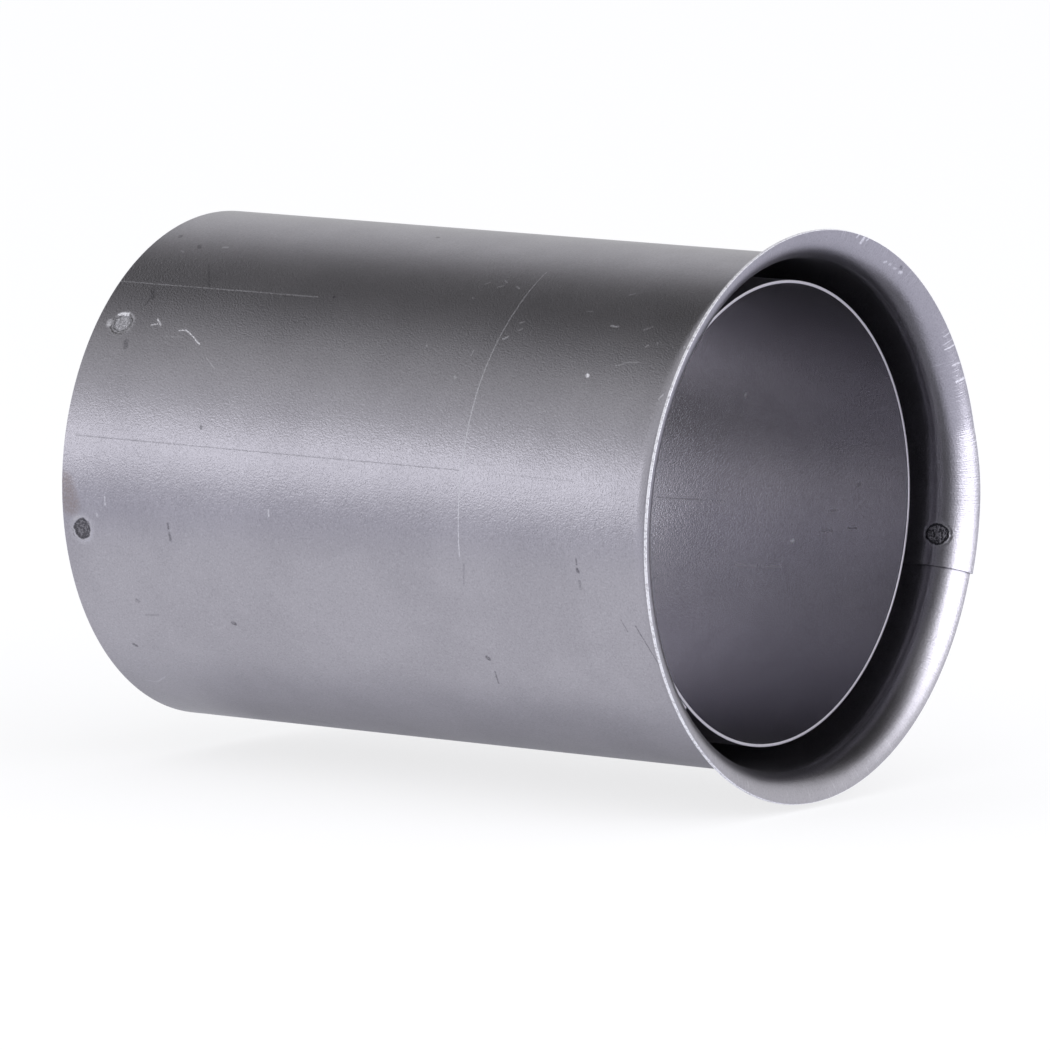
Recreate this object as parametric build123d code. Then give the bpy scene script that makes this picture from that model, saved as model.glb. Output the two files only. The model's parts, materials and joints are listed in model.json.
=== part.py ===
from build123d import *
from math import acos, cos, degrees, radians, sin, tan
import os

# A double-walled steel sleeve that lines the hole where a round flue pipe passes through a wall.
# Two sheets are rolled into tubes, one inside the other. Each laps on itself along its length and
# is spot-welded there. The outer tube's front edge is turned outwards into a bell-shaped lip that
# covers the edge of the hole. Three flat straps lie across the outer tube at its rear edge, with
# their ends welded to it, and carry the inner tube at their middles.
#
# Millimetres. +X runs along the sleeve's axis and out of its mouth, and +Z is up. The origin is
# on the axis where the straight outer tube ends and the lip starts, at the mouth of the hole.
# Angles go round the axis from +Y towards +Z.

# Tubes
BORE_DIAMETER = 151.0     # inside the inner tube, which takes a 150 mm flue pipe
SHEET = 1.0               # the steel sheet that both tubes are rolled from
AIR_GAP = 7.5             # between the two tubes, all round
LENGTH = 246.0            # from the rear edge to the front of the lip
INNER_SETBACK = 15.4      # from the front of the lip back to the inner tube's front edge

# Lip of the outer tube
LIP_BEND = 11.0           # radius of the lip's rear face
LIP_TURN = 80.0           # degrees that the sheet turns outwards

# Lap seam along each tube
LAP = 21.5                # how far the sheet's ends overlap
LAP_RAMP = 23.0           # length of sheet in which the lapping end steps past the other
LAP_GAP = 0.25            # left between the lapped ends, beside the welds
OUTER_LAP_ANGLE = -2.8    # where the outer end of the outer tube's sheet stops
INNER_LAP_ANGLE = 213.0   # where the inner end of the inner tube's sheet stops
LAP_WELD_PITCH = 71.0     # between the welds along a lap
LAP_WELD_MARGIN = 8.6     # from a lap's front end to its first weld

# Spot welds
WELD_MARK = 7.0           # width of the flat that the electrode leaves
WELD_MARK_DEPTH = 0.15
WELD_NUGGET = 5.0         # width of the core that joins two sheets, drawn square

# Straps
STRAP_COUNT = 3
STRAP_SHEET = 1.5
STRAP_WIDTH = 11.0
STRAP_FOOT = 8.1          # length of each end that lies against the outer tube
STRAP_BEND = 2.0          # inside radius between foot and middle
STRAP_SETBACK = 2.0       # from the sleeve's rear edge to the strap's nearest corner
STRAP_ANGLE = 164.8       # where the first strap's middle is
STRAP_SKEWS = (2.5, 0.0, 0.0)   # degrees that each strap lies out of square
SEAT_GAP = 0.1            # left between welded faces

# Worked out from the sizes above
bore_r = BORE_DIAMETER / 2
inner_tube_r = bore_r + SHEET
outer_bore_r = inner_tube_r + AIR_GAP
outer_r = outer_bore_r + SHEET
lip_front_x = (LIP_BEND + SHEET) * sin(radians(min(LIP_TURN, 90)))
rear_x = lip_front_x - LENGTH
inner_front_x = lip_front_x - INNER_SETBACK
lap_shift = SHEET + LAP_GAP

RAMP_CUTS = 6             # stretches between the cuts that a ramp is lofted through
NUGGET_BITE = 0.3 * SHEET     # how far a weld's core reaches into each sheet


def wall_line(depth):
    """A line along the outer tube, a depth under its outer face: straight, then round the lip."""
    straight = Line((rear_x, outer_r - depth), (0, outer_r - depth))
    lip = CenterArc((0, outer_r + LIP_BEND), LIP_BEND + depth, -90, LIP_TURN)
    return straight, lip


def outer_layer(depth, thickness):
    """The outer tube's wall cut along the axis, between two depths under its outer face."""
    straight, lip = wall_line(depth)
    deep_straight, deep_lip = wall_line(depth + thickness)
    rear_edge = Line(straight @ 0, deep_straight @ 0)
    lip_edge = Line(lip @ 1, deep_lip @ 1)
    return make_face([straight, lip, lip_edge, deep_lip, deep_straight, rear_edge])


def inner_layer(height, thickness):
    """The inner tube's wall cut along the axis, between two heights above its bore."""
    length = inner_front_x - rear_x
    corner = Pos(rear_x, bore_r + height)
    return corner * Rectangle(length, thickness, align=(Align.MIN, Align.MIN))


def turned(cut, start, sweep):
    """A cut swung round the axis, from an angle and through a sweep of either sign."""
    first = min(start, start + sweep)
    return revolve(Rot(X=first) * cut, Axis.X, abs(sweep))


def ramp(layer, start, sweep):
    """The stretch of sheet that steps from a layer's own place to beside it, for the lap.

    It leaves its place at a slight crease and comes smoothly to the full step.
    """
    cuts = []
    for step in range(RAMP_CUTS + 1):
        share = step / RAMP_CUTS
        shift = lap_shift * sin(radians(90 * share))
        cuts.append(Rot(X=start + sweep * share) * layer(shift, SHEET))
    return loft(cuts)


def square_patch(layer, depth, thickness, x, angle, width):
    """A square patch of a layer of a tube's wall."""
    sweep = degrees(width / bore_r)
    strip = turned(layer(depth, thickness), angle - sweep / 2, sweep)
    across = 2 * (outer_r + LIP_BEND)
    return strip & Pos(X=x) * Box(width, across, across)


def round_patch(layer, depth, thickness, x, angle, width):
    """A round patch of a layer of a tube's wall, cut by a peg that points out from the axis."""
    peg = Cylinder(width / 2, outer_r + LIP_BEND, align=(Align.CENTER, Align.CENTER, Align.MIN))
    placed_peg = Rot(X=angle - 90) * Pos(X=x) * peg
    return square_patch(layer, depth, thickness, x, angle, 2 * width) & placed_peg


def lap_weld_places(rear, front):
    """The places of the welds along a lap, from its front end back as far as they fit."""
    gaps = int((front - rear - 2 * LAP_WELD_MARGIN) / LAP_WELD_PITCH)
    return [front - LAP_WELD_MARGIN - LAP_WELD_PITCH * place for place in range(gaps + 1)]


def rolled_tube(layer, seam_r, lap_angle, way, front, mark_depth):
    """A sheet rolled into a tube, with its lapped ends spot-welded.

    The sheet starts at lap_angle, runs round in the direction way (1 or -1), steps past its own
    start and overlaps it. The electrode marks the lap inside the tube, and mark_depth is where
    that face's mark starts in the layer's own depth.
    """
    ramp_sweep = degrees(LAP_RAMP / seam_r)
    lap_sweep = degrees(LAP / seam_r)
    round_sweep = 360 - ramp_sweep
    tube = turned(layer(0, SHEET), lap_angle, way * round_sweep)
    tube += ramp(layer, lap_angle + way * round_sweep, way * ramp_sweep)
    tube += turned(layer(lap_shift, SHEET), lap_angle, way * lap_sweep)

    weld_angle = lap_angle + way * lap_sweep / 2
    core_depth = SHEET - NUGGET_BITE
    core = LAP_GAP + 2 * NUGGET_BITE
    for x in lap_weld_places(rear_x, front):
        tube += square_patch(layer, core_depth, core, x, weld_angle, WELD_NUGGET)
        tube -= round_patch(layer, mark_depth, WELD_MARK_DEPTH, x, weld_angle, WELD_MARK)
    return tube


# A strap's cut across the axis, with its middle straight up. The straight middle lies against
# the inner tube, and the feet follow the inside of the outer tube.
middle_low = inner_tube_r + SEAT_GAP
middle_high = middle_low + STRAP_SHEET
foot_out_r = outer_bore_r - SEAT_GAP
foot_in_r = foot_out_r - STRAP_SHEET
bend_angle = degrees(acos(middle_high / foot_out_r))
inner_bend_angle = degrees(acos(middle_low / foot_in_r))
foot_sweep = degrees(STRAP_FOOT / foot_out_r)
tip_angle = bend_angle + foot_sweep
foot_weld_angle = bend_angle + foot_sweep / 2


def strap_section():
    """The strap's cut across the axis: one half drawn, the other mirrored."""
    foot_outer = CenterArc((0, 0), foot_out_r, 90 - bend_angle, bend_angle - tip_angle)
    foot_inner = CenterArc((0, 0), foot_in_r, 90 - inner_bend_angle, inner_bend_angle - tip_angle)
    half = make_face([
        Line((0, middle_high), foot_outer @ 0),
        foot_outer,
        Line(foot_outer @ 1, foot_inner @ 1),
        foot_inner,
        Line(foot_inner @ 0, (0, middle_low)),
        Line((0, middle_low), (0, middle_high)),
    ])
    bend_out, bend_in = foot_outer @ 0, foot_inner @ 0
    half = fillet(half.vertices().sort_by_distance(bend_out)[0], STRAP_BEND + STRAP_SHEET)
    half = fillet(half.vertices().sort_by_distance(bend_in)[0], STRAP_BEND)
    return half + mirror(half, Plane.YZ)


def strap_middle_x(skew):
    """The strap's middle, set so that its nearest corner keeps to the setback."""
    half_span = foot_out_r * sin(radians(tip_angle))
    half_width = STRAP_WIDTH / 2 / cos(radians(skew))
    return rear_x + STRAP_SETBACK + half_width + half_span * tan(radians(abs(skew)))


def foot_weld_place(angle, skew, side):
    """Where a foot is welded: x and angle. Side 1 is the foot on the low-angle side."""
    along = side * outer_bore_r * sin(radians(foot_weld_angle))
    return strap_middle_x(skew) + along * tan(radians(skew)), angle - side * foot_weld_angle


def strap(angle, skew):
    """One strap in its place, cut from the bent section between two edges that may be skew."""
    section = Plane.YZ * strap_section()
    bent = extrude(section, LENGTH / 2, both=True)
    reach = 2 * outer_r
    strip = Rot(Z=-skew) * Box(STRAP_WIDTH, reach, 2 * reach)
    return Rot(X=angle - 90) * Pos(X=strap_middle_x(skew)) * (bent & strip)


strap_places = []
for number in range(STRAP_COUNT):
    skew = STRAP_SKEWS[number % len(STRAP_SKEWS)]
    strap_places.append((STRAP_ANGLE - number * 360 / STRAP_COUNT, skew))

outer_mark_depth = lap_shift + SHEET - WELD_MARK_DEPTH
outer_tube = rolled_tube(outer_layer, outer_bore_r, OUTER_LAP_ANGLE, -1, lip_front_x,
                         outer_mark_depth)
inner_tube = rolled_tube(inner_layer, inner_tube_r, INNER_LAP_ANGLE, 1, inner_front_x, 0)

# The electrodes' marks where the straps are welded: outside the outer tube, and in the bore
for angle, skew in strap_places:
    for side in (1, -1):
        x, weld_angle = foot_weld_place(angle, skew, side)
        outer_tube -= round_patch(outer_layer, 0, WELD_MARK_DEPTH, x, weld_angle, WELD_MARK)
    middle_x = strap_middle_x(skew)
    inner_tube -= round_patch(inner_layer, 0, WELD_MARK_DEPTH, middle_x, angle, WELD_MARK)

nodes = {"outer_tube": outer_tube, "inner_tube": inner_tube}
for number, (angle, skew) in enumerate(strap_places, start=1):
    nodes[f"strap_{number}"] = strap(angle, skew)

os.makedirs("parts", exist_ok=True)
for name, piece in nodes.items():
    export_step(piece, f"parts/{name}.step")
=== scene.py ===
import json
from math import ceil, cos, hypot, pi, radians, sin, tau

import bmesh
import bpy
from bpy.props import FloatProperty, FloatVectorProperty, PointerProperty
from bpy.types import Operator, Panel, PropertyGroup
from mathutils import Matrix, Vector


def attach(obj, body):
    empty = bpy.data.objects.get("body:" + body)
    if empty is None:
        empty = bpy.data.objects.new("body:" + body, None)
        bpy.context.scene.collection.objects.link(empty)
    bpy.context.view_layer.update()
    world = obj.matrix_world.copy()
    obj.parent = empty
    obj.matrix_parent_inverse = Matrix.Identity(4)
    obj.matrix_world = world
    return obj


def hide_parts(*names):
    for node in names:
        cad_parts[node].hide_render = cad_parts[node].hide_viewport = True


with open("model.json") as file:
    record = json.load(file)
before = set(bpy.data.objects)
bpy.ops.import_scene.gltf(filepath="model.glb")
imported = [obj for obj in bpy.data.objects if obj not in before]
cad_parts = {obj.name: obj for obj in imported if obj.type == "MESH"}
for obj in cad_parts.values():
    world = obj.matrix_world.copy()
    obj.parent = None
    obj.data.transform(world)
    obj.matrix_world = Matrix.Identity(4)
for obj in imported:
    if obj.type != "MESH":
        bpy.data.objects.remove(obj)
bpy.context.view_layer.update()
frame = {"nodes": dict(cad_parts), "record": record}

bl_info = {
    "name": "Wall vent sleeve",
    "version": (1, 0, 0),
    "blender": (4, 5, 0),
    "location": "View3D > Sidebar > Sleeve",
    "description": "Dresses a double-walled steel wall sleeve for a flue pipe and sets its stage",
    "category": "Object",
}

# The sleeve's own frame: +X out of its mouth, +Z up, and angles round the axis from +Y towards
# +Z. The sheets are modelled flat, as blanks, and then rolled. Lengths here are in metres.
MM = 0.001
mounts = {mount["name"]: mount for mount in frame["record"]["mounts"]}
outer_r = mounts["wall_seat"]["dims"]["r_mm"] * MM
straight_length = mounts["wall_seat"]["dims"]["length_mm"] * MM
bore_r = mounts["flue_socket"]["dims"]["r_mm"] * MM
inner_front_x = mounts["flue_socket"]["pos_m"][0]
rear_x = -straight_length


def linear(hex_colour):
    """An sRGB hex colour as linear red, green and blue."""
    channels = [int(hex_colour[place:place + 2], 16) / 255 for place in (1, 3, 5)]
    return tuple(c / 12.92 if c <= 0.04045 else ((c + 0.055) / 1.055) ** 2.4 for c in channels)


def length_setting(name, description, millimetres):
    """A length that a user may change, in metres."""
    return FloatProperty(name=name, description=description, default=millimetres * MM,
                         min=0, unit="LENGTH", subtype="DISTANCE", precision=5)


def angle_setting(name, description, turn):
    """An angle that a user may change, in radians."""
    return FloatProperty(name=name, description=description, default=radians(turn),
                         unit="ROTATION", subtype="ANGLE")


def colour_setting(name, description, hex_colour):
    """A colour that a user may change."""
    return FloatVectorProperty(name=name, description=description, default=linear(hex_colour),
                               subtype="COLOR", min=0, max=1)


class SleeveSizes(PropertyGroup):
    """Sizes of the two rolled sheets."""
    sheet: length_setting("Sheet", "Thickness of the steel sheet", 1.0)
    lip_bend: length_setting("Lip bend", "Radius of the lip's rear face", 11.0)
    lip_turn: angle_setting("Lip turn", "How far the sheet turns outwards at the lip", 80)
    lap: length_setting("Lap", "How far each sheet's ends overlap", 21.5)
    lap_ramp: length_setting("Lap ramp", "Length of sheet that steps past the other end", 23.0)
    lap_gap: length_setting("Lap gap", "Gap between the lapped ends beside the welds", 0.25)
    outer_lap: angle_setting("Outer lap", "Where the outer tube's outer end stops", -2.8)
    inner_lap: angle_setting("Inner lap", "Where the inner tube's inner end stops", 213.0)
    edge_round: length_setting("Edge", "Rounding of the sheared edges", 0.12)
    weld_mark: length_setting("Weld mark", "Width of the mark that a welding tip leaves", 7.0)
    weld_depth: length_setting("Weld depth", "Depth of a welding tip's mark", 0.15)
    facet: length_setting("Facet", "Spacing of the mesh round the tubes", 2.0)
    fine_facet: length_setting("Fine facet", "Spacing of the mesh at welds and on the lip", 0.6)


class SleeveColours(PropertyGroup):
    """Colours of the bare steel and of what marks it."""
    steel: colour_setting("Steel", "Bare cold-rolled steel", "#aba9b0")
    dull_steel: colour_setting("Dull steel", "Steel under a thin film of oil and dust", "#a6a4ab")
    # Also the colour of the painted highlights on the lip's creases
    cut_steel_and_highlight: colour_setting("Cut steel", "Sheared edges and scratches, with bright metal", "#e6e6ec")
    clean_steel: colour_setting("Clean steel", "Bare steel inside, with no dust on it", "#b7b5bb")
    grime: colour_setting("Grime", "Dirt in dents and dark scratches", "#55545a")
    scale: colour_setting("Scale", "Burnt scale in a spot weld", "#3c3b40")
    heat_tint: colour_setting("Heat tint", "Straw-brown tint beside a weld", "#8f827e")


def settings():
    """The sizes as the user has set them."""
    return bpy.context.scene.sleeve_sizes


def stations(length, coarse, fine, fine_zones, edge):
    """Places along one side of a blank where its mesh is divided.

    They are coarse apart, or fine within the zones, and one is close inside each edge.
    """
    bounds = sorted({edge, length - edge, *(min(max(end, edge), length - edge)
                                            for zone in fine_zones for end in zone)})
    places = [0.0]
    for start, end in zip(bounds, bounds[1:]):
        middle = (start + end) / 2
        inside = any(low <= middle <= high for low, high in fine_zones)
        count = max(1, ceil((end - start) / (fine if inside else coarse)))
        places += [start + (end - start) * step / count for step in range(count)]
    return places + [length - edge, length]


# A sheet's materials: its face at depth 0, its other face, and its front and rear edges
NEAR_FACE, FAR_FACE, CUT_EDGE = range(3)


def flat_blank(long_places, round_places, thickness, edge_round):
    """A flat sheet as a bmesh: x is the tube's length, y goes round it and z is the thickness.

    Its rim is rounded, and its UV map holds x and y in metres. Only the front and rear edges are
    bright from the shear: the two ends that lap are as dull as the faces.
    """
    blank = bmesh.new()
    across = len(long_places) - 1
    around = len(round_places) - 1
    bmesh.ops.create_grid(blank, x_segments=across, y_segments=around, size=0.5)
    uv = blank.loops.layers.uv.new("sheet")
    for vert in blank.verts:
        column = round((vert.co.x + 0.5) * across)
        row = round((vert.co.y + 0.5) * around)
        vert.co = (long_places[column], round_places[row], 0)
    for face in blank.faces:
        for loop in face.loops:
            loop[uv].uv = loop.vert.co.xy
    bmesh.ops.solidify(blank, geom=blank.faces[:], thickness=thickness)
    lowest = min(vert.co.z for vert in blank.verts)
    bmesh.ops.translate(blank, verts=blank.verts[:], vec=(0, 0, -lowest))
    rim = [edge for edge in blank.edges if is_rim_corner(edge)]
    bmesh.ops.bevel(blank, geom=rim, offset=edge_round, offset_type="OFFSET", segments=2,
                    profile=0.5, affect="EDGES", material=-1)
    for face in blank.faces:
        if abs(face.normal.x) > 0.1:
            face.material_index = CUT_EDGE
        elif face.calc_center_median().z > thickness / 2:
            face.material_index = FAR_FACE
    return blank


def is_rim_corner(edge):
    """Whether an edge runs between a blank's flat face and its cut rim."""
    if len(edge.link_faces) != 2:
        return False
    flat = [abs(face.normal.z) > 0.9 for face in edge.link_faces]
    return flat[0] != flat[1]


def lap_share(turned, ramp_turn):
    """How far the sheet has stepped past its own start, from 0 to 1, after a turn round the tube."""
    ramp_start = tau - ramp_turn
    if turned <= ramp_start:
        return 0.0
    return sin(pi / 2 * min(1.0, (turned - ramp_start) / ramp_turn))


class RolledSheet:
    """What carries a flat blank's points to their places on a rolled tube."""

    def __init__(self, seam_r, start_angle, way):
        sizes = settings()
        self.seam_r = seam_r
        self.start_angle = start_angle
        self.way = way
        self.girth = tau * seam_r + sizes.lap
        self.ramp_turn = sizes.lap_ramp / seam_r
        self.lap_shift = sizes.sheet + sizes.lap_gap

    def around(self, angle):
        """How far round the blank an angle of the tube lies, on the sheet's first turn."""
        return (self.way * (angle - self.start_angle)) % tau * self.seam_r

    def place(self, along_mm, degrees_round):
        """A place on the blank from millimetres along the tube and degrees round it."""
        return Vector((along_mm * MM, self.around(radians(degrees_round)), 0))

    def angle_and_shift(self, around):
        turned = around / self.seam_r
        shift = self.lap_shift * lap_share(turned, self.ramp_turn)
        return self.start_angle + self.way * turned, shift


def outer_section(along, depth):
    """The outer tube's section: x and radius at a length along the sheet and a depth in it."""
    sizes = settings()
    if along <= straight_length:
        return rear_x + along, outer_r - depth
    turn = (along - straight_length) / (sizes.lip_bend + sizes.sheet / 2)
    bend_r = sizes.lip_bend + depth
    return bend_r * sin(turn), outer_r + sizes.lip_bend - bend_r * cos(turn)


def inner_section(along, height):
    """The inner tube's section: x and radius at a length along the sheet and a height in it."""
    return rear_x + along, bore_r + height


def mark_dip(along, around, marks, radius, depth):
    """How deep the welding tips' marks are at a place on the blank."""
    for mark_along, mark_around in marks:
        away = hypot(along - mark_along, around - mark_around)
        if away < radius:
            rise = min(1.0, (radius - away) / (0.2 * radius))
            return depth * rise * rise * (3 - 2 * rise)
    return 0.0


def roll(blank, sheet, section, near_marks, far_marks):
    """Rolls a flat blank into its tube. Near marks are on the face at depth 0."""
    sizes = settings()
    radius = sizes.weld_mark / 2
    on_face = 0.01 * MM
    for vert in blank.verts:
        along, around, depth = vert.co
        if depth < on_face:
            depth += mark_dip(along, around, near_marks, radius, sizes.weld_depth)
        elif depth > sizes.sheet - on_face:
            depth -= mark_dip(along, around, far_marks, radius, sizes.weld_depth)
        angle, shift = sheet.angle_and_shift(around)
        x, r = section(along, depth + shift)
        vert.co = (x, r * cos(angle), r * sin(angle))
    bmesh.ops.recalc_face_normals(blank, faces=blank.faces[:])


def finish_piece(blank, name, materials, node):
    """Makes a bmesh a piece of the sleeve that stands for a CAD node."""
    mesh = bpy.data.meshes.new(name)
    for face in blank.faces:
        face.smooth = True
    blank.to_mesh(mesh)
    blank.free()
    piece = bpy.data.objects.new(name, mesh)
    bpy.context.scene.collection.objects.link(piece)
    for material in materials:
        mesh.materials.append(material)
    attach(piece, "root")
    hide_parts(node)
    return piece


# Where the spot welds are. The first strap's two foot welds show in the photograph, one of them
# further forward than the other by twice the strap's lean.
strap_count = 3
first_strap_angle = radians(164.8)
foot_spread = radians(24.2)          # from a strap's middle to each foot's weld
first_strap_x = rear_x + 9.17 * MM
other_strap_x = rear_x + 7.5 * MM
first_strap_lean = 1.5 * MM
front_weld_back = 8.6 * MM           # from a lap's front end to its first weld
lap_weld_pitch = 71 * MM


def strap_places():
    """Each strap's middle, as x and angle, and how far it leans."""
    places = []
    for number in range(strap_count):
        first = number == 0
        x = first_strap_x if first else other_strap_x
        lean = first_strap_lean if first else 0
        places.append((x, first_strap_angle - number * tau / strap_count, lean))
    return places


def foot_welds():
    """The welds of the straps' feet, as x and angle, in order of the straps."""
    return [(x - side * lean, angle + side * foot_spread)
            for x, angle, lean in strap_places() for side in (-1, 1)]


def lap_welds(front_x):
    """Where the welds along a lap are, as x, from its front end back."""
    gaps = int((front_x - rear_x - 2 * front_weld_back) / lap_weld_pitch)
    return [front_x - front_weld_back - lap_weld_pitch * place for place in range(gaps + 1)]


def fill(tree, socket, value):
    """Links a socket to another node's output, or sets it to a number, colour or vector."""
    if isinstance(value, bpy.types.NodeSocket):
        tree.links.new(value, socket)
    else:
        socket.default_value = value


def add_node(tree, kind, inputs=None, **options):
    """Adds a node with its options, and sets or links its inputs."""
    made = tree.nodes.new(kind)
    for option, value in options.items():
        setattr(made, option, value)
    for socket, value in (inputs or {}).items():
        fill(tree, made.inputs[socket], value)
    return made


def new_material(name):
    """A material with one shader, and its tree, that shader and its output."""
    material = bpy.data.materials.new(name)
    material.use_nodes = True
    tree = material.node_tree
    tree.nodes.clear()
    shader = add_node(tree, "ShaderNodeBsdfPrincipled")
    output = add_node(tree, "ShaderNodeOutputMaterial", {"Surface": shader.outputs["BSDF"]})
    return material, tree, shader, output


def measure(tree, operation, first, second=0.0, clamp=False):
    """The result of a sum on numbers."""
    made = add_node(tree, "ShaderNodeMath", {0: first, 1: second}, operation=operation,
                    use_clamp=clamp)
    return made.outputs["Value"]


def fade(tree, value, start, end, low=0.0, high=1.0):
    """Runs smoothly from low to high while a value goes from start to end."""
    made = add_node(tree, "ShaderNodeMapRange", {"Value": value, "From Min": start,
                    "From Max": end, "To Min": low, "To Max": high},
                    interpolation_type="SMOOTHSTEP")
    return made.outputs["Result"]


def blend_colour(tree, share, first, second):
    """One colour where share is 0 and another where it is 1."""
    made = add_node(tree, "ShaderNodeMix", {"Factor": share}, data_type="RGBA")
    for socket, colour in ((6, first), (7, second)):
        fill(tree, made.inputs[socket],
             colour if isinstance(colour, bpy.types.NodeSocket) else (*colour, 1))
    return made.outputs[2]


def noise(tree, place, size, detail=2.0, stretch=None):
    """Noise whose lumps are about one size in metres, longer along the axes that stretch gives."""
    if stretch:
        place = add_node(tree, "ShaderNodeVectorMath", {0: place, 1: stretch},
                         operation="DIVIDE").outputs["Vector"]
    made = add_node(tree, "ShaderNodeTexNoise", {"Vector": place, "Scale": 1 / size,
                    "Detail": detail, "Roughness": 0.6}, noise_dimensions="3D")
    return made.outputs["Fac"]


def dot(tree, place, x, y, shift):
    """How far a place, whose z is 1, lies from a line of the blank along the direction (x, y)."""
    made = add_node(tree, "ShaderNodeVectorMath", {0: place, 1: (x, y, -shift)},
                    operation="DOT_PRODUCT")
    return made.outputs["Value"]


def line_distance_squared(tree, place, start, end):
    """The square of how far a place, whose z is 1, is from the straight line between two others."""
    way = (end - start).normalized()
    middle = (start + end) / 2
    across = Vector((-way.y, way.x, 0))
    metal_glow_share = dot(tree, place, across.x, across.y, across.dot(middle))
    ahead = measure(tree, "ABSOLUTE", dot(tree, place, way.x, way.y, way.dot(middle)))
    half_length = (end - start).length / 2
    beyond = measure(tree, "MAXIMUM", measure(tree, "SUBTRACT", ahead, half_length), 0)
    made = add_node(tree, "ShaderNodeMath", {0: beyond, 1: beyond,
                    2: measure(tree, "MULTIPLY", metal_glow_share, metal_glow_share)}, operation="MULTIPLY_ADD")
    return made.outputs["Value"]


# How a scratch strays from its line, and how long its fainter stretches are
waver_size = 1.3 * MM
waver_reach = 0.4 * MM
gap_size = 0.8 * MM


def scratches(tree, on_sheet, sheet, marks):
    """How strongly any of the marks shows at a place: each is a width, a strength and its points.

    The marks waver a little and are fainter here and there.
    """
    waver = add_node(tree, "ShaderNodeTexNoise", {"Vector": on_sheet, "Scale": 1 / waver_size,
                     "Detail": 1.0}).outputs["Color"]
    shift = add_node(tree, "ShaderNodeVectorMath", {0: waver, 1: (0.5, 0.5, 0.5)},
                     operation="SUBTRACT").outputs["Vector"]
    place = add_node(tree, "ShaderNodeVectorMath", {0: shift, 1: (waver_reach, waver_reach, 0),
                     2: on_sheet}, operation="MULTIPLY_ADD").outputs["Vector"]
    place = add_node(tree, "ShaderNodeVectorMath", {0: place, 1: (0, 0, 1)},
                     operation="ADD").outputs["Vector"]
    total = 0.0
    for width_mm, strength, points in marks:
        ends = [sheet.place(*point) for point in points]
        nearest = None
        for start, end in zip(ends, ends[1:]):
            away = line_distance_squared(tree, place, start, end)
            nearest = away if nearest is None else measure(tree, "MINIMUM", nearest, away)
        reach = 0.8 * width_mm * MM
        shown = fade(tree, nearest, 0, reach ** 2, strength, 0.0)
        total = measure(tree, "MAXIMUM", total, shown)
    broken = fade(tree, noise(tree, on_sheet, gap_size), 0.35, 0.6, 0.4, 1.0)
    return measure(tree, "MULTIPLY", total, broken)


def sheet_place(metal):
    """A place on the flat blank: along the tube and round it, in metres."""
    return add_node(metal.tree, "ShaderNodeUVMap", uv_map="sheet").outputs["UV"]


def add_marks(metal, on_sheet, sheet, marks, colour, roughness=0.1, torn=0.0):
    """Scratches, nicks or smudges of one colour. Torn says how much they scatter light."""
    shown = scratches(metal.tree, on_sheet, sheet, marks)
    metal.paint(shown, tuple(colour))
    metal.roughen(shown, roughness)
    if torn:
        metal.scatter(measure(metal.tree, "MULTIPLY", shown, torn))


def nearest_weld(tree, place, welds):
    """How far a place on the sheet is from the middle of the nearest spot weld."""
    nearest = None
    for along, around in welds:
        away = add_node(tree, "ShaderNodeVectorMath", {0: place, 1: (along, around, 0)},
                        operation="DISTANCE").outputs["Value"]
        nearest = away if nearest is None else measure(tree, "MINIMUM", nearest, away)
    return nearest


class Metal:
    """A metal's colour, roughness and relief, in metres, while its material is put together."""

    def __init__(self, name, colour, roughness):
        self.material, self.tree, self.shader, _ = new_material(name)
        self.place = add_node(self.tree, "ShaderNodeTexCoord").outputs["Object"]
        self.colour = colour
        self.roughness = roughness
        self.relief = 0.0
        self.metallic = 1.0

    def paint(self, share, colour):
        self.colour = blend_colour(self.tree, share, self.colour, colour)

    def roughen(self, share, more):
        added = measure(self.tree, "MULTIPLY", share, more)
        self.roughness = measure(self.tree, "ADD", self.roughness, added)

    def lift(self, share, height):
        added = measure(self.tree, "MULTIPLY", share, height)
        self.relief = measure(self.tree, "ADD", self.relief, added)

    def scatter(self, share):
        """Lets blistered or torn metal scatter light as a matt surface does."""
        self.metallic = measure(self.tree, "SUBTRACT", self.metallic, share, clamp=True)

    def finished(self, edge_tint=0.75):
        """Links everything to the shader. The edge tint keeps the metal dull at a low angle."""
        bump = add_node(self.tree, "ShaderNodeBump", {"Height": self.relief, "Strength": 1.0,
                        "Distance": 1.0})
        fill(self.tree, self.shader.inputs["Base Color"], self.colour)
        fill(self.tree, self.shader.inputs["Roughness"], self.roughness)
        fill(self.tree, self.shader.inputs["Normal"], bump.outputs["Normal"])
        fill(self.tree, self.shader.inputs["Metallic"], self.metallic)
        self.shader.inputs["Specular Tint"].default_value = (edge_tint, edge_tint, edge_tint, 1)
        return self.material


# Sizes of what shows in the sheet's finish
cloud_size = 34 * MM          # clouds of oil
smear_size = 9 * MM           # patches that are a little rougher than the rest
pit_size = 0.6 * MM
pit_depth = 0.085 * MM


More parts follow.
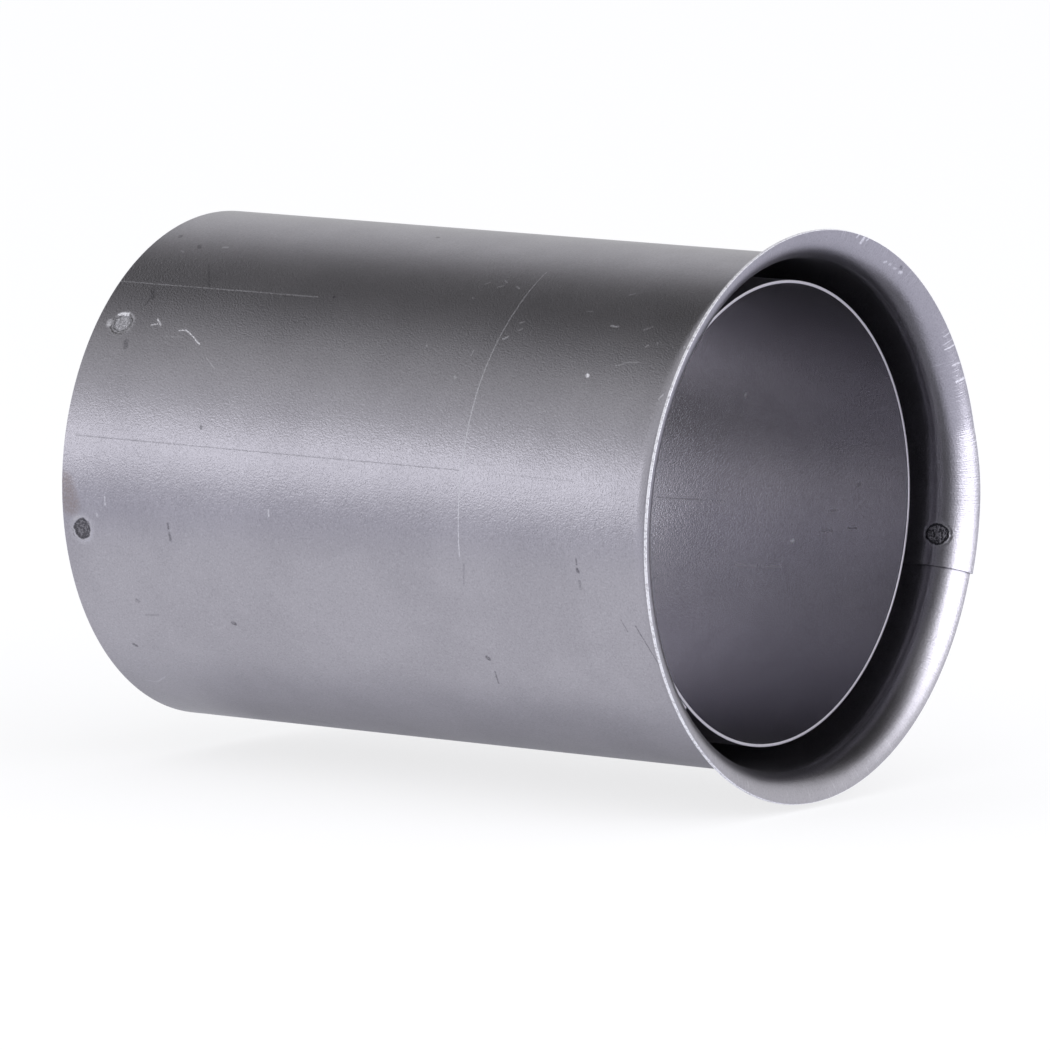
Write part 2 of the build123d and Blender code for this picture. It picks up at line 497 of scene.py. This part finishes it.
def cold_rolled_steel(name, roughness, glare=1.0, clean=False):
    """Bare cold-rolled steel sheet with a matt finish, lightly oiled.

    The mill's blasted rolls print pits all over it, which sparkle where a lamp is reflected and
    can't be told where a plain white floor is. They are 0.1 to 0.3 mm wide on the real sheet,
    and drawn 0.6 mm wide to show. The oil film dulls the sheet in faint clouds. Glare says how
    strongly the pits sparkle, and clean leaves the dust out.
    """
    colours = bpy.context.scene.sleeve_colours
    metal = Metal(name, tuple(colours.clean_steel if clean else colours.steel), roughness)
    tree = metal.tree
    clouds = noise(tree, metal.place, cloud_size, detail=4.0)
    metal.paint(fade(tree, clouds, 0.4, 0.62, 0, 0.3 if clean else 1), tuple(colours.dull_steel))
    pits = noise(tree, metal.place, pit_size, detail=1.0)
    metal.paint(fade(tree, pits, 0.48, 0.30, 0, 0.16), tuple(colours.grime))
    metal.paint(fade(tree, pits, 0.56, 0.72, 0, 0.12 * glare), tuple(colours.cut_steel_and_highlight))
    metal.lift(pits, pit_depth * glare)
    metal.roughen(noise(tree, metal.place, smear_size), 0.05)
    return metal


# Sizes of what shows in a spot weld
halo_width = 2.6 * MM         # brightened metal round the mark
weld_wander = 1.7 * MM        # how far the mark's outline strays
weld_lobe = 1.9 * MM          # size of the lobes in that outline
weld_grain = 0.8 * MM         # the burnt flecks
weld_grain_depth = 0.12 * MM
rim_height = 0.10 * MM        # metal that the tip pushed up round the mark


def add_spot_welds(metal, on_sheet, welds, burn, bare=0.0):
    """Spot welds: rough mottled discs in a pressed ring, in a faint bright halo.

    Burn says how dark the welding tip has scorched them, and bare how much clean metal shows.
    """
    colours = bpy.context.scene.sleeve_colours
    tree = metal.tree
    tip_r = settings().weld_mark / 2
    away = nearest_weld(tree, on_sheet, welds)
    uneven = measure(tree, "SUBTRACT", noise(tree, metal.place, weld_lobe, detail=3.0), 0.5)
    edge = measure(tree, "ADD", away, measure(tree, "MULTIPLY", uneven, weld_wander))
    halo = fade(tree, edge, tip_r + halo_width, tip_r, 0, 0.22)
    metal.paint(halo, tuple(colours.cut_steel_and_highlight))
    disc = fade(tree, edge, tip_r, tip_r - 0.6 * MM)
    mottle = fade(tree, noise(tree, metal.place, weld_grain, detail=3.0), 0.40, 0.62)
    dark = measure(tree, "MULTIPLY", measure(tree, "SUBTRACT", 1.0, mottle), disc)
    metal.paint(disc, tuple(colours.dull_steel))
    metal.paint(measure(tree, "MULTIPLY", disc, bare), tuple(colours.cut_steel_and_highlight))
    metal.paint(measure(tree, "MULTIPLY", dark, 0.25 + 0.8 * burn), tuple(colours.scale))
    metal.paint(measure(tree, "MULTIPLY", disc, 0.5 * burn), tuple(colours.scale))
    off_ring = measure(tree, "ABSOLUTE", measure(tree, "SUBTRACT", edge, tip_r - 0.25 * MM))
    ring = fade(tree, off_ring, 0.1 * MM, 0.5 * MM, min(1.0, 1.25 * burn), 0)
    metal.paint(ring, tuple(colours.scale))
    if bare:
        metal.scatter(measure(tree, "MULTIPLY", disc, 0.7 * bare))
    metal.roughen(disc, 0.26)
    metal.lift(measure(tree, "MULTIPLY", mottle, disc), weld_grain_depth)
    off_rim = measure(tree, "ABSOLUTE", measure(tree, "SUBTRACT", edge, tip_r + 0.45 * MM))
    metal.lift(fade(tree, off_rim, 0, 0.8 * MM, 1, 0), rim_height)


# Painted highlights on the creases round the lip's inside, where the tool took hold: length along the
# sheet, and strength
crease_highlights = ((236.9 * MM, 0.30), (233.3 * MM, 0.12))
crease_width = 0.6 * MM
line_gap = 0.45 * MM
line_depth = 0.07 * MM
line_length = 16              # times the gap


def add_drawing_lines(metal, on_sheet):
    """The lip's finish, from the tool that turned it out: fine lines across the bend, and painted
    highlights on its creases.

    The lines are about 0.1 mm apart on the real lip, and drawn 0.45 mm apart to show.
    """
    colours = bpy.context.scene.sleeve_colours
    tree = metal.tree
    along = add_node(tree, "ShaderNodeSeparateXYZ", {0: on_sheet}).outputs["X"]
    drawn = fade(tree, along, straight_length + 3 * MM, straight_length + 8 * MM)
    lines = noise(tree, on_sheet, line_gap, detail=1.5, stretch=(line_length, 1, 1))
    metal.lift(measure(tree, "MULTIPLY", lines, drawn), line_depth)
    bright_lines = fade(tree, lines, 0.60, 0.76, 0, 0.3)
    metal.paint(measure(tree, "MULTIPLY", bright_lines, drawn), tuple(colours.cut_steel_and_highlight))
    # Each crease is a painted highlight: a bright ring of cut steel in the colour, with no relief
    # under it
    for crease, strength in crease_highlights:
        off_crease = measure(tree, "ABSOLUTE", measure(tree, "SUBTRACT", along, crease))
        ring = fade(tree, off_crease, 0, crease_width, strength, 0)
        metal.paint(ring, tuple(colours.cut_steel_and_highlight))


def sheared_steel(name, colour, metallic=1.0):
    """A sheared edge of steel sheet: burnished bright, and torn along its far side.

    Torn metal scatters light as a matt surface does, so metallic may be under 1.
    """
    colours = bpy.context.scene.sleeve_colours
    metal = Metal(name, tuple(colour), 0.5)
    torn = noise(metal.tree, metal.place, 0.9 * MM, detail=2.0)
    metal.paint(fade(metal.tree, torn, 0.50, 0.36, 0, 0.7), tuple(colours.steel))
    metal.lift(torn, 0.03 * MM)
    metal.metallic = metallic
    return metal.finished(edge_tint=1.0)


# Marks on the steel from making and handling: width in millimetres, strength, and the places that
# the mark runs through, in millimetres from the sheet's rear edge and degrees round the axis. Bright
# ones are scratched metal, torn ones are rougher and catch the light, and dark ones hold dirt.
OUTSIDE_BRIGHT = [
    (0.40, 0.65, [(0, 128.9), (83, 128.8)]),
    (0.40, 0.80, [(162.3, 113.6), (163.2, 128), (163.5, 150), (164.2, 168), (164.3, 187)]),
    (0.30, 0.30, [(169.5, 166), (168.7, 173)]),
    (0.30, 0.50, [(50.7, 147.5), (55.3, 149.9)]),
    (0.45, 0.30, [(30.6, 143.1), (37.4, 143.0)]),
    (0.90, 0.80, [(29, 114), (30.6, 113.8)]),
    (0.60, 0.50, [(14, 116.7), (15.5, 117.2)]),
    (0.70, 0.95, [(165, 136.4), (166.4, 135.7)]),
    (0.60, 0.70, [(168, 131.5), (169.2, 131.2)]),
    (0.60, 0.60, [(169.2, 133.6), (170.2, 133.2)]),
    (0.70, 0.95, [(203.6, 130.2), (206.4, 130.3)]),
    (0.60, 0.60, [(201.9, 119.8), (203.4, 119.3)]),
    (0.45, 0.45, [(190.6, 126.4), (193.2, 126.4)]),
    (0.60, 0.60, [(217, 130.6), (219.5, 129.5)]),
    (0.60, 0.60, [(221.4, 135.2), (222, 134.8)]),
    (0.45, 0.55, [(213.6, 141), (216.8, 139.9), (221.5, 139.5)]),
    (0.60, 0.50, [(225, 134), (225.5, 134.4)]),
    (0.70, 0.80, [(236.2, 134.5), (236.8, 134.9)]),
    (0.60, 0.70, [(235.2, 148), (236.4, 147)]),
    (0.55, 0.60, [(149.4, 120.8), (151, 120.2)]),
    (0.55, 0.50, [(143.6, 120), (145, 119.5)]),
    (0.45, 0.60, [(150, 118.2), (151.6, 119)]),
    (0.55, 0.60, [(156.5, 120.1), (158.2, 120.7)]),
    (0.70, 0.60, [(143.3, 125), (143.6, 125.2)]),
    (0.60, 0.55, [(136.3, 139.7), (136.8, 140)]),
    (0.70, 0.60, [(152.5, 146.9), (153, 147.2)]),
    (0.45, 0.50, [(155.8, 140), (155.6, 141.4)]),
    (0.60, 0.80, [(86.5, 180.8), (86.7, 182)]),
    (0.60, 0.60, [(18, 181.2), (18.2, 183)]),
    (0.70, 0.50, [(14.3, 185.2), (14.7, 185.8)]),
    (0.50, 0.30, [(8.9, 232.7), (12.7, 233.3), (19.2, 230.3)]),
]
OUTSIDE_TORN = [
    (1.10, 1.00, [(7.6, 138.5), (9.2, 138.1), (11.4, 138.2)]),
    (2.00, 0.55, [(5.3, 140.6), (5.5, 141.2)]),
    (0.50, 0.90, [(24.2, 138.8), (26.6, 140.3)]),
    (0.45, 0.60, [(22.8, 140.5), (25.0, 140.1)]),
    (0.42, 0.75, [(35, 141.4), (37.7, 141.1), (40.7, 142.1), (45.8, 144.4)]),
    (1.10, 1.00, [(204, 143.8), (204.4, 144)]),
]
OUTSIDE_TINT = [
    (6.5, 0.60, [(1.0, 179.0), (3.5, 183.6)]),
]
OUTSIDE_DARK = [
    (1.30, 0.50, [(7.0, 110.3), (7.4, 110.8)]),
    (1.40, 0.45, [(19.1, 114.1), (19.9, 114.9)]),
    (3.00, 0.18, [(64, 248.6), (69, 249.2)]),
    (0.80, 0.60, [(89.2, 128.3), (89.5, 128.4)]),
    (0.38, 0.34, [(4.8, 168), (163, 168)]),
    (0.38, 0.16, [(178, 168), (209, 168.1)]),
    (0.80, 0.70, [(44.3, 185.9), (44.4, 187)]),
    (0.90, 0.60, [(44.6, 188), (44.9, 189.8)]),
    (0.60, 0.30, [(165.8, 188.5), (164.8, 193.2)]),
    (0.60, 0.60, [(167.3, 215.7), (166.3, 219.2)]),
    (0.45, 0.45, [(226.5, 198.2), (228.2, 200.8)]),
    (0.45, 0.60, [(231.9, 199.3), (237.6, 208.5)]),
    (0.70, 0.35, [(30.4, 121.2), (37.5, 128.7)]),
    (1.60, 0.45, [(15.5, 130.6), (17.4, 133)]),
    (0.80, 0.50, [(16.6, 133.4), (16.2, 135)]),
    (1.60, 0.50, [(15.4, 145.2), (16.2, 146.6)]),
    (0.70, 0.30, [(26.6, 209.5), (32, 209.1)]),
    (1.20, 0.80, [(102.6, 99.3), (102.9, 99.5)]),
    (0.90, 0.80, [(55.8, 163.7), (56.1, 163.9)]),
    (1.20, 0.75, [(63.2, 209.2), (64.2, 209.4)]),
    (1.20, 0.70, [(15.2, 219), (16, 219.3)]),
    (1.20, 0.45, [(25, 205.6), (25.5, 205.8)]),
    (1.30, 0.80, [(166.6, 211.6), (167.1, 211.9)]),
    (1.20, 0.80, [(211.6, 187.4), (211.9, 187.7)]),
    (0.60, 0.50, [(211.3, 185), (211.4, 186.2)]),
    (0.90, 0.40, [(212, 190), (212.2, 191.6)]),
    (1.10, 0.60, [(235.8, 224.1), (236.3, 224.5)]),
]
LIP_BRIGHT = [
    (1.00, 0.90, [(249.6, 72.9), (247.8, 73.3)]),
    (0.60, 0.70, [(249.9, 75), (249, 75.4)]),
    (0.60, 0.70, [(250, 71.4), (249.2, 71.8)]),
    (0.80, 0.70, [(246.1, 62.8), (246.5, 62.4)]),
    (0.70, 0.50, [(246.5, 61.2), (246.8, 60.8)]),
    (0.70, 0.50, [(246.4, 59.2), (246.8, 58.7)]),
    (1.00, 0.80, [(246.7, 57), (247.1, 56.5)]),
    (0.45, 0.90, [(246.2, 32.1), (249.8, 31.7)]),
    (0.30, 0.60, [(246.4, 33.4), (249.8, 33.2)]),
    (0.30, 0.60, [(247.4, 35), (249.8, 34.9)]),
    (0.40, 0.80, [(247, 27.8), (249.6, 27.4)]),
    (0.55, 1.00, [(246.6, 23.9), (249.8, 23.7)]),
]
LIP_DARK = [
    (1.00, 0.60, [(248, 57.4), (248.4, 57.8)]),
    (0.80, 0.90, [(249.6, -15.1), (250.2, -15.1)]),
]
BORE_BRIGHT = [
    (0.70, 0.60, [(167.9, 21.2), (168.3, 22)]),
    (0.80, 1.00, [(185.4, 344.5), (185.8, 344.7)]),
    (0.40, 0.25, [(164.8, 337.3), (173, 337.4)]),
    (0.40, 0.22, [(177, 337.6), (183, 337.7)]),
]
BORE_DARK = [
    (0.45, 0.40, [(128.6, 352.4), (145, 352.8)]),
    (0.40, 0.22, [(145, 352.8), (155.6, 353)]),
    (0.90, 0.35, [(210.4, 0.2), (211.2, 0.6)]),
    (0.70, 0.35, [(199.6, 353), (201.6, 353.2)]),
    (0.70, 0.45, [(207.8, 349.1), (210.6, 349.3)]),
    (1.00, 0.22, [(197, 347.8), (201, 348)]),
]


# Where a tube's mesh is fine
mark_margin = 0.5 * MM            # round each welding tip's mark
strap_zone = (3 * MM, 16 * MM)    # from the rear edge, where the straps are welded
lip_margin = 2 * MM               # behind the lip
# Elsewhere the facets are longer along the tube than round it, and short at the edges
long_facet = 6                    # times the facet
edge_facet = 2.5                  # times the edge's rounding


def divided_blank(sheet, length, fine_lengths, fine_arounds):
    """A flat blank with a fine mesh in some zones along it and at some places round it."""
    sizes = settings()
    radius = sizes.weld_mark / 2 + mark_margin
    mark_zones = [(around - radius, around + radius) for around in fine_arounds]
    edge = edge_facet * sizes.edge_round
    long_places = stations(length, long_facet * sizes.facet, sizes.fine_facet, fine_lengths, edge)
    round_places = stations(sheet.girth, sizes.facet, sizes.fine_facet, mark_zones, edge)
    return flat_blank(long_places, round_places, sizes.sheet, sizes.edge_round)


class SLEEVE_OT_outer_tube(Operator):
    """Add the outer tube: a rolled sheet with a welded lap and a lip turned outwards"""
    bl_idname = "sleeve.outer_tube"
    bl_label = "Outer tube"

    def execute(self, context):
        sizes = context.scene.sleeve_sizes
        colours = context.scene.sleeve_colours
        sheet = RolledSheet(outer_r - sizes.sheet, sizes.outer_lap, -1)
        length = straight_length + (sizes.lip_bend + sizes.sheet / 2) * sizes.lip_turn
        lip_front_x = (sizes.lip_bend + sizes.sheet) * sin(sizes.lip_turn)
        lap_middle = tau * sheet.seam_r + sizes.lap / 2
        foot_marks = [(x - rear_x, sheet.around(angle)) for x, angle in foot_welds()]
        lap_marks = [(x - rear_x, lap_middle) for x in lap_welds(lip_front_x)]
        fine_arounds = [around for _, around in foot_marks] + [lap_middle, sizes.lap / 2]
        lip_zone = (straight_length - lip_margin, length)
        blank = divided_blank(sheet, length, [strap_zone, lip_zone], fine_arounds)
        roll(blank, sheet, outer_section, foot_marks, lap_marks)
        materials = [self.outside(sheet, foot_marks, colours),
                     self.lip(sheet, lap_marks, colours),
                     sheared_steel("sheared_steel_outer", colours.cut_steel_and_highlight, metallic=0.5)]
        finish_piece(blank, "outer_sheet", materials, "outer_tube")
        return {"FINISHED"}

    def outside(self, sheet, foot_marks, colours):
        """Satin steel with handling scratches. The first weld shows more bare metal than burn."""
        metal = cold_rolled_steel("bare_steel_outside", 0.27)
        on_sheet = sheet_place(metal)
        add_marks(metal, on_sheet, sheet, OUTSIDE_TINT, colours.heat_tint)
        add_marks(metal, on_sheet, sheet, OUTSIDE_DARK, colours.grime)
        add_spot_welds(metal, on_sheet, foot_marks[:1], burn=0.30, bare=0.55)
        add_spot_welds(metal, on_sheet, foot_marks[1:], burn=0.55)
        add_marks(metal, on_sheet, sheet, OUTSIDE_BRIGHT, colours.cut_steel_and_highlight, roughness=0.3)
        add_marks(metal, on_sheet, sheet, OUTSIDE_TORN, colours.cut_steel_and_highlight, roughness=0.3,
                  torn=0.6)
        return metal.finished()

    def lip(self, sheet, lap_marks, colours):
        """The tube's inside and the lip's face: steel drawn smoother, with burnt lap welds."""
        metal = cold_rolled_steel("bare_steel_lip", 0.28, glare=0.6)
        on_sheet = sheet_place(metal)
        add_drawing_lines(metal, on_sheet)
        add_marks(metal, on_sheet, sheet, LIP_DARK, colours.grime)
        add_spot_welds(metal, on_sheet, lap_marks, burn=0.9)
        add_marks(metal, on_sheet, sheet, LIP_BRIGHT, colours.cut_steel_and_highlight, roughness=0.3)
        return metal.finished()


class SLEEVE_OT_inner_tube(Operator):
    """Add the inner tube: a smaller rolled sheet with a welded lap"""
    bl_idname = "sleeve.inner_tube"
    bl_label = "Inner tube"

    def execute(self, context):
        sizes = context.scene.sleeve_sizes
        colours = context.scene.sleeve_colours
        sheet = RolledSheet(bore_r + sizes.sheet, sizes.inner_lap, 1)
        length = inner_front_x - rear_x
        marks = [(x - rear_x, sheet.around(angle)) for x, angle, _ in strap_places()]
        marks += [(x - rear_x, sizes.lap / 2) for x in lap_welds(inner_front_x)]
        blank = divided_blank(sheet, length, [strap_zone], [around for _, around in marks])
        roll(blank, sheet, inner_section, marks, [])
        materials = [self.bore(sheet, marks, colours),
                     cold_rolled_steel("bare_steel_inner_outside", 0.32).finished(),
                     sheared_steel("sheared_steel_inner", colours.clean_steel)]
        finish_piece(blank, "inner_sheet", materials, "inner_tube")
        return {"FINISHED"}

    def bore(self, sheet, marks, colours):
        """The bore is cleaner than the outside, with faint scuffs and burnt welds."""
        metal = cold_rolled_steel("bare_steel_bore", 0.23, clean=True)
        on_sheet = sheet_place(metal)
        add_marks(metal, on_sheet, sheet, BORE_DARK, colours.grime)
        add_spot_welds(metal, on_sheet, marks, burn=0.55)
        add_marks(metal, on_sheet, sheet, BORE_BRIGHT, colours.cut_steel_and_highlight, roughness=0.3)
        return metal.finished(edge_tint=1.0)


class SLEEVE_OT_straps(Operator):
    """Dress the three straps that carry the inner tube"""
    bl_idname = "sleeve.straps"
    bl_label = "Straps"

    def execute(self, context):
        steel = cold_rolled_steel("bare_steel_strip", 0.36).finished()
        for number in range(1, strap_count + 1):
            strap = frame["nodes"][f"strap_{number}"]
            strap.data.materials.clear()
            strap.data.materials.append(steel)
        return {"FINISHED"}


# The photograph's camera, worked out from the sleeve's outlines
photo_width = 1050
photo_focal_pixels = 12156
sensor_width = 36.0
camera_place = Vector((2.2680, -3.2162, 0.5064))
camera_direction = Vector((-0.5889, 0.7979, -0.1285))

# The floor, as the eye sees it
floor_z = -0.096
floor_size = 60.0
floor_white = "#f8f9ff"
floor_glow = 0.75             # how much of its white is its own light, so that it is even

# The floor as metal sees it is a glowing white card: painted light over the sleeve's shadow,
# except under the sleeve, where less of it glows and its real shade shows. It ends a little way off.
# Each pair holds the distances between which it passes into the next.
card_white = "#fafaff"
card_middle = Vector((-0.10, -0.15, floor_z))
card_end = (0.24, 0.39)            # from its middle
card_front_end = (0.0, 0.03)       # x
shade_end = (0.045, 0.078)         # from under the sleeve's axis
# How much of the card glows under the sleeve, so that its real shade shows; beside it, all of it glows
shade = 0.38

# The studio as metal sees it. Its ceiling is dark overhead and leans away over the back of the
# sleeve, so the grey goes with the height towards ceiling_up.
ceiling_up = Vector((0, 0.25, 0.968))
ceiling_stops = ((0.0, "#f6f6fa"), (0.20, "#f2f2f5"), (0.42, "#dededf"), (0.56, "#cacac9"),
                 (0.69, "#a1a1a1"), (0.79, "#5a5957"), (0.88, "#232220"))
# The studio's other parts. Each pair holds the heights or directions between which one begins.
back_wall = "#fbfbfc"
back_wall_top = (0.68, 0.55)
back_wall_front = (0.0, 0.3)
low_walls = "#efeffb"
low_walls_top = (0.02, -0.12)
under_floor = "#6c6c6f"
under_floor_top = (-0.84, -0.93)
dark_side = Vector((0.14, -0.99, 0))     # behind the camera
dark_side_edge = (0.72, 0.97)
dark_side_grey = "#5c5c5e"

# The soft light on everything but bare metal is stronger from the camera's side than from behind
camera_side = Vector((0.3, -0.95, 0))
soft_light = (0.55, 1.45)

# Soft boxes on both sides of the camera: name, place, width, height, roll in degrees and watts
lamp_white = "#fafaff"
soft_boxes = (
    ("left_soft_box", (-1.5, -1.95, 0.45), 0.9, 0.8, 0, 2.7),
    ("right_soft_box", (1.97, -0.12, 0.41), 2.1, 1.7, -15, 34.0),
)


def matt_white_card():
    """The floor's material: plain white card that holds the sleeve's soft shadow.

    The eye sees an even white. Metal mirrors a glowing card, painted light over the sleeve's
    shadow, except under the sleeve, where its real shade shows. The card ends a little way off,
    so the sleeve's side darkens towards the floor.
    """
    material, tree, shader, output = new_material("matt_white_card")
    fill(tree, shader.inputs["Base Color"], (*linear(floor_white), 1))
    fill(tree, shader.inputs["Roughness"], 0.9)
    fill(tree, shader.inputs["Specular IOR Level"], 0.0)
    path = add_node(tree, "ShaderNodeLightPath").outputs
    by_metal = path["Is Glossy Ray"]
    by_eye = measure(tree, "MAXIMUM", path["Is Camera Ray"], path["Is Transmission Ray"])
    place = add_node(tree, "ShaderNodeTexCoord").outputs["Object"]
    parts = add_node(tree, "ShaderNodeSeparateXYZ", {0: place}).outputs
    # For metal the card glows in full beside the sleeve, painted light over its shadow, and less under
    # it
    metal_glow_share = fade(tree, measure(tree, "ABSOLUTE", parts["Y"]), *shade_end, shade, 1.0)
    share = measure(tree, "MAXIMUM", measure(tree, "MULTIPLY", by_eye, floor_glow),
                    measure(tree, "MULTIPLY", by_metal, metal_glow_share))
    tone = blend_colour(tree, by_metal, linear("#ffffff"), linear(card_white))
    white = add_node(tree, "ShaderNodeEmission", {"Color": tone, "Strength": 1.0})
    card = add_node(tree, "ShaderNodeMixShader", {0: share, 1: shader.outputs["BSDF"],
                    2: white.outputs["Emission"]})
    away = add_node(tree, "ShaderNodeVectorMath", {0: place, 1: card_middle},
                    operation="DISTANCE").outputs["Value"]
    past = measure(tree, "MAXIMUM", fade(tree, away, *card_end),
                   fade(tree, parts["X"], *card_front_end))
    clear = add_node(tree, "ShaderNodeBsdfTransparent")
    surface = add_node(tree, "ShaderNodeMixShader", {0: measure(tree, "MULTIPLY", by_metal, past),
                       1: card.outputs["Shader"], 2: clear.outputs["BSDF"]})
    fill(tree, output.inputs["Surface"], surface.outputs["Shader"])
    return material


def grey_ramp(tree, value, stops):
    """Colours at places along a value, blended between them."""
    made = add_node(tree, "ShaderNodeValToRGB", {"Fac": value})
    elements = made.color_ramp.elements
    while len(elements) < len(stops):
        elements.new(0.5)
    for element, (place, colour) in zip(elements, stops):
        element.position = place
        element.color = (*linear(colour), 1)
    return made.outputs["Color"]


def towards(tree, direction, aim):
    """How far a direction points towards another: 1 along it and 0 square to it."""
    made = add_node(tree, "ShaderNodeVectorMath", {0: direction, 1: aim}, operation="DOT_PRODUCT")
    return made.outputs["Value"]


def studio_seen_by_metal(tree, direction):
    """What bare steel mirrors in a direction: the walls, the ceiling and what is in front."""
    parts = add_node(tree, "ShaderNodeSeparateXYZ", {0: direction}).outputs
    colour = grey_ramp(tree, towards(tree, direction, ceiling_up), ceiling_stops)
    behind = measure(tree, "MULTIPLY", fade(tree, parts["Z"], *back_wall_top),
                     fade(tree, parts["Y"], *back_wall_front))
    colour = blend_colour(tree, behind, colour, linear(back_wall))
    colour = blend_colour(tree, fade(tree, parts["Z"], *low_walls_top), colour, linear(low_walls))
    colour = blend_colour(tree, fade(tree, parts["Z"], *under_floor_top), colour,
                          linear(under_floor))
    level = add_node(tree, "ShaderNodeVectorMath", {0: direction, 1: (1, 1, 0)},
                     operation="MULTIPLY").outputs["Vector"]
    heading = add_node(tree, "ShaderNodeVectorMath", {0: level},
                       operation="NORMALIZE").outputs["Vector"]
    in_front = fade(tree, towards(tree, heading, dark_side), *dark_side_edge)
    return blend_colour(tree, in_front, colour, linear(dark_side_grey))


class SLEEVE_OT_stage(Operator):
    """Set the floor, the light and the camera"""
    bl_idname = "sleeve.stage"
    bl_label = "Stage"

    def execute(self, context):
        self.add_floor(context)
        self.add_world(context)
        self.add_lights(context)
        self.add_camera(context)
        context.scene.view_settings.view_transform = "Standard"
        return {"FINISHED"}

    def add_floor(self, context):
        mesh = bpy.data.meshes.new("floor")
        grid = bmesh.new()
        bmesh.ops.create_grid(grid, x_segments=1, y_segments=1, size=floor_size / 2)
        bmesh.ops.translate(grid, verts=grid.verts[:], vec=(0, 0, floor_z))
        grid.to_mesh(mesh)
        grid.free()
        mesh.materials.append(matt_white_card())
        floor = bpy.data.objects.new("floor", mesh)
        context.scene.collection.objects.link(floor)

    def add_world(self, context):
        """The eye sees plain white, bare metal the studio, and everything else a soft light."""
        world = bpy.data.worlds.new("white_studio")
        context.scene.world = world
        world.use_nodes = True
        # A sampled world would light rough metal with what everything else sees
        world.cycles.sampling_method = "NONE"
        tree = world.node_tree
        tree.nodes.clear()
        path = add_node(tree, "ShaderNodeLightPath").outputs
        by_eye = measure(tree, "MAXIMUM", path["Is Camera Ray"], path["Is Transmission Ray"])
        direction = add_node(tree, "ShaderNodeTexCoord").outputs["Generated"]
        softness = fade(tree, towards(tree, direction, camera_side), -1.0, 1.0, *soft_light)
        white = (1, 1, 1, 1)
        soft = self.background(tree, white, softness)
        studio = self.background(tree, studio_seen_by_metal(tree, direction), 1.0)
        plain = self.background(tree, white, 1.0)
        lit = add_node(tree, "ShaderNodeMixShader", {0: path["Is Glossy Ray"], 1: soft, 2: studio})
        seen = add_node(tree, "ShaderNodeMixShader", {0: by_eye, 1: lit.outputs["Shader"],
                        2: plain})
        add_node(tree, "ShaderNodeOutputWorld", {"Surface": seen.outputs["Shader"]})

    @staticmethod
    def background(tree, colour, strength):
        made = add_node(tree, "ShaderNodeBackground", {"Color": colour, "Strength": strength})
        return made.outputs["Background"]

    def add_lights(self, context):
        for name, place, width, height, roll, watts in soft_boxes:
            lamp = bpy.data.lights.new(name, "AREA")
            lamp.shape = "RECTANGLE"
            lamp.size, lamp.size_y = width, height
            lamp.energy = watts
            lamp.color = linear(lamp_white)
            soft_box = bpy.data.objects.new(name, lamp)
            aim = (-Vector(place)).to_track_quat("-Z", "Y").to_matrix().to_4x4()
            turn = Matrix.Rotation(radians(roll), 4, "Z")
            soft_box.matrix_world = Matrix.Translation(place) @ aim @ turn
            context.scene.collection.objects.link(soft_box)

    def add_camera(self, context):
        lens = bpy.data.cameras.new("camera")
        lens.sensor_width = sensor_width
        lens.lens = photo_focal_pixels / photo_width * sensor_width
        camera = bpy.data.objects.new("camera", lens)
        aim = camera_direction.to_track_quat("-Z", "Y").to_matrix().to_4x4()
        camera.matrix_world = Matrix.Translation(camera_place) @ aim
        context.scene.collection.objects.link(camera)
        context.scene.camera = camera


class VIEW3D_PT_sleeve(Panel):
    """Lists what makes the sleeve and its stage"""
    bl_label = "Wall vent sleeve"
    bl_idname = "VIEW3D_PT_sleeve"
    bl_space_type = "VIEW_3D"
    bl_region_type = "UI"
    bl_category = "Sleeve"

    def draw(self, context):
        layout = self.layout
        for group in (context.scene.sleeve_sizes, context.scene.sleeve_colours):
            box = layout.box()
            for name in group.bl_rna.properties.keys():
                if name not in ("rna_type", "name"):
                    box.prop(group, name)
        for operator in operators:
            layout.operator(operator.bl_idname)


operators = (SLEEVE_OT_outer_tube, SLEEVE_OT_inner_tube, SLEEVE_OT_straps, SLEEVE_OT_stage)
classes = (SleeveSizes, SleeveColours, *operators, VIEW3D_PT_sleeve)


def register():
    for cls in classes:
        bpy.utils.register_class(cls)
    bpy.types.Scene.sleeve_sizes = PointerProperty(type=SleeveSizes)
    bpy.types.Scene.sleeve_colours = PointerProperty(type=SleeveColours)


def unregister():
    del bpy.types.Scene.sleeve_colours
    del bpy.types.Scene.sleeve_sizes
    for cls in reversed(classes):
        bpy.utils.unregister_class(cls)


def main():
    register()
    bpy.ops.sleeve.outer_tube()
    bpy.ops.sleeve.inner_tube()
    bpy.ops.sleeve.straps()
    bpy.ops.sleeve.stage()


if __name__ == "__main__":
    main()
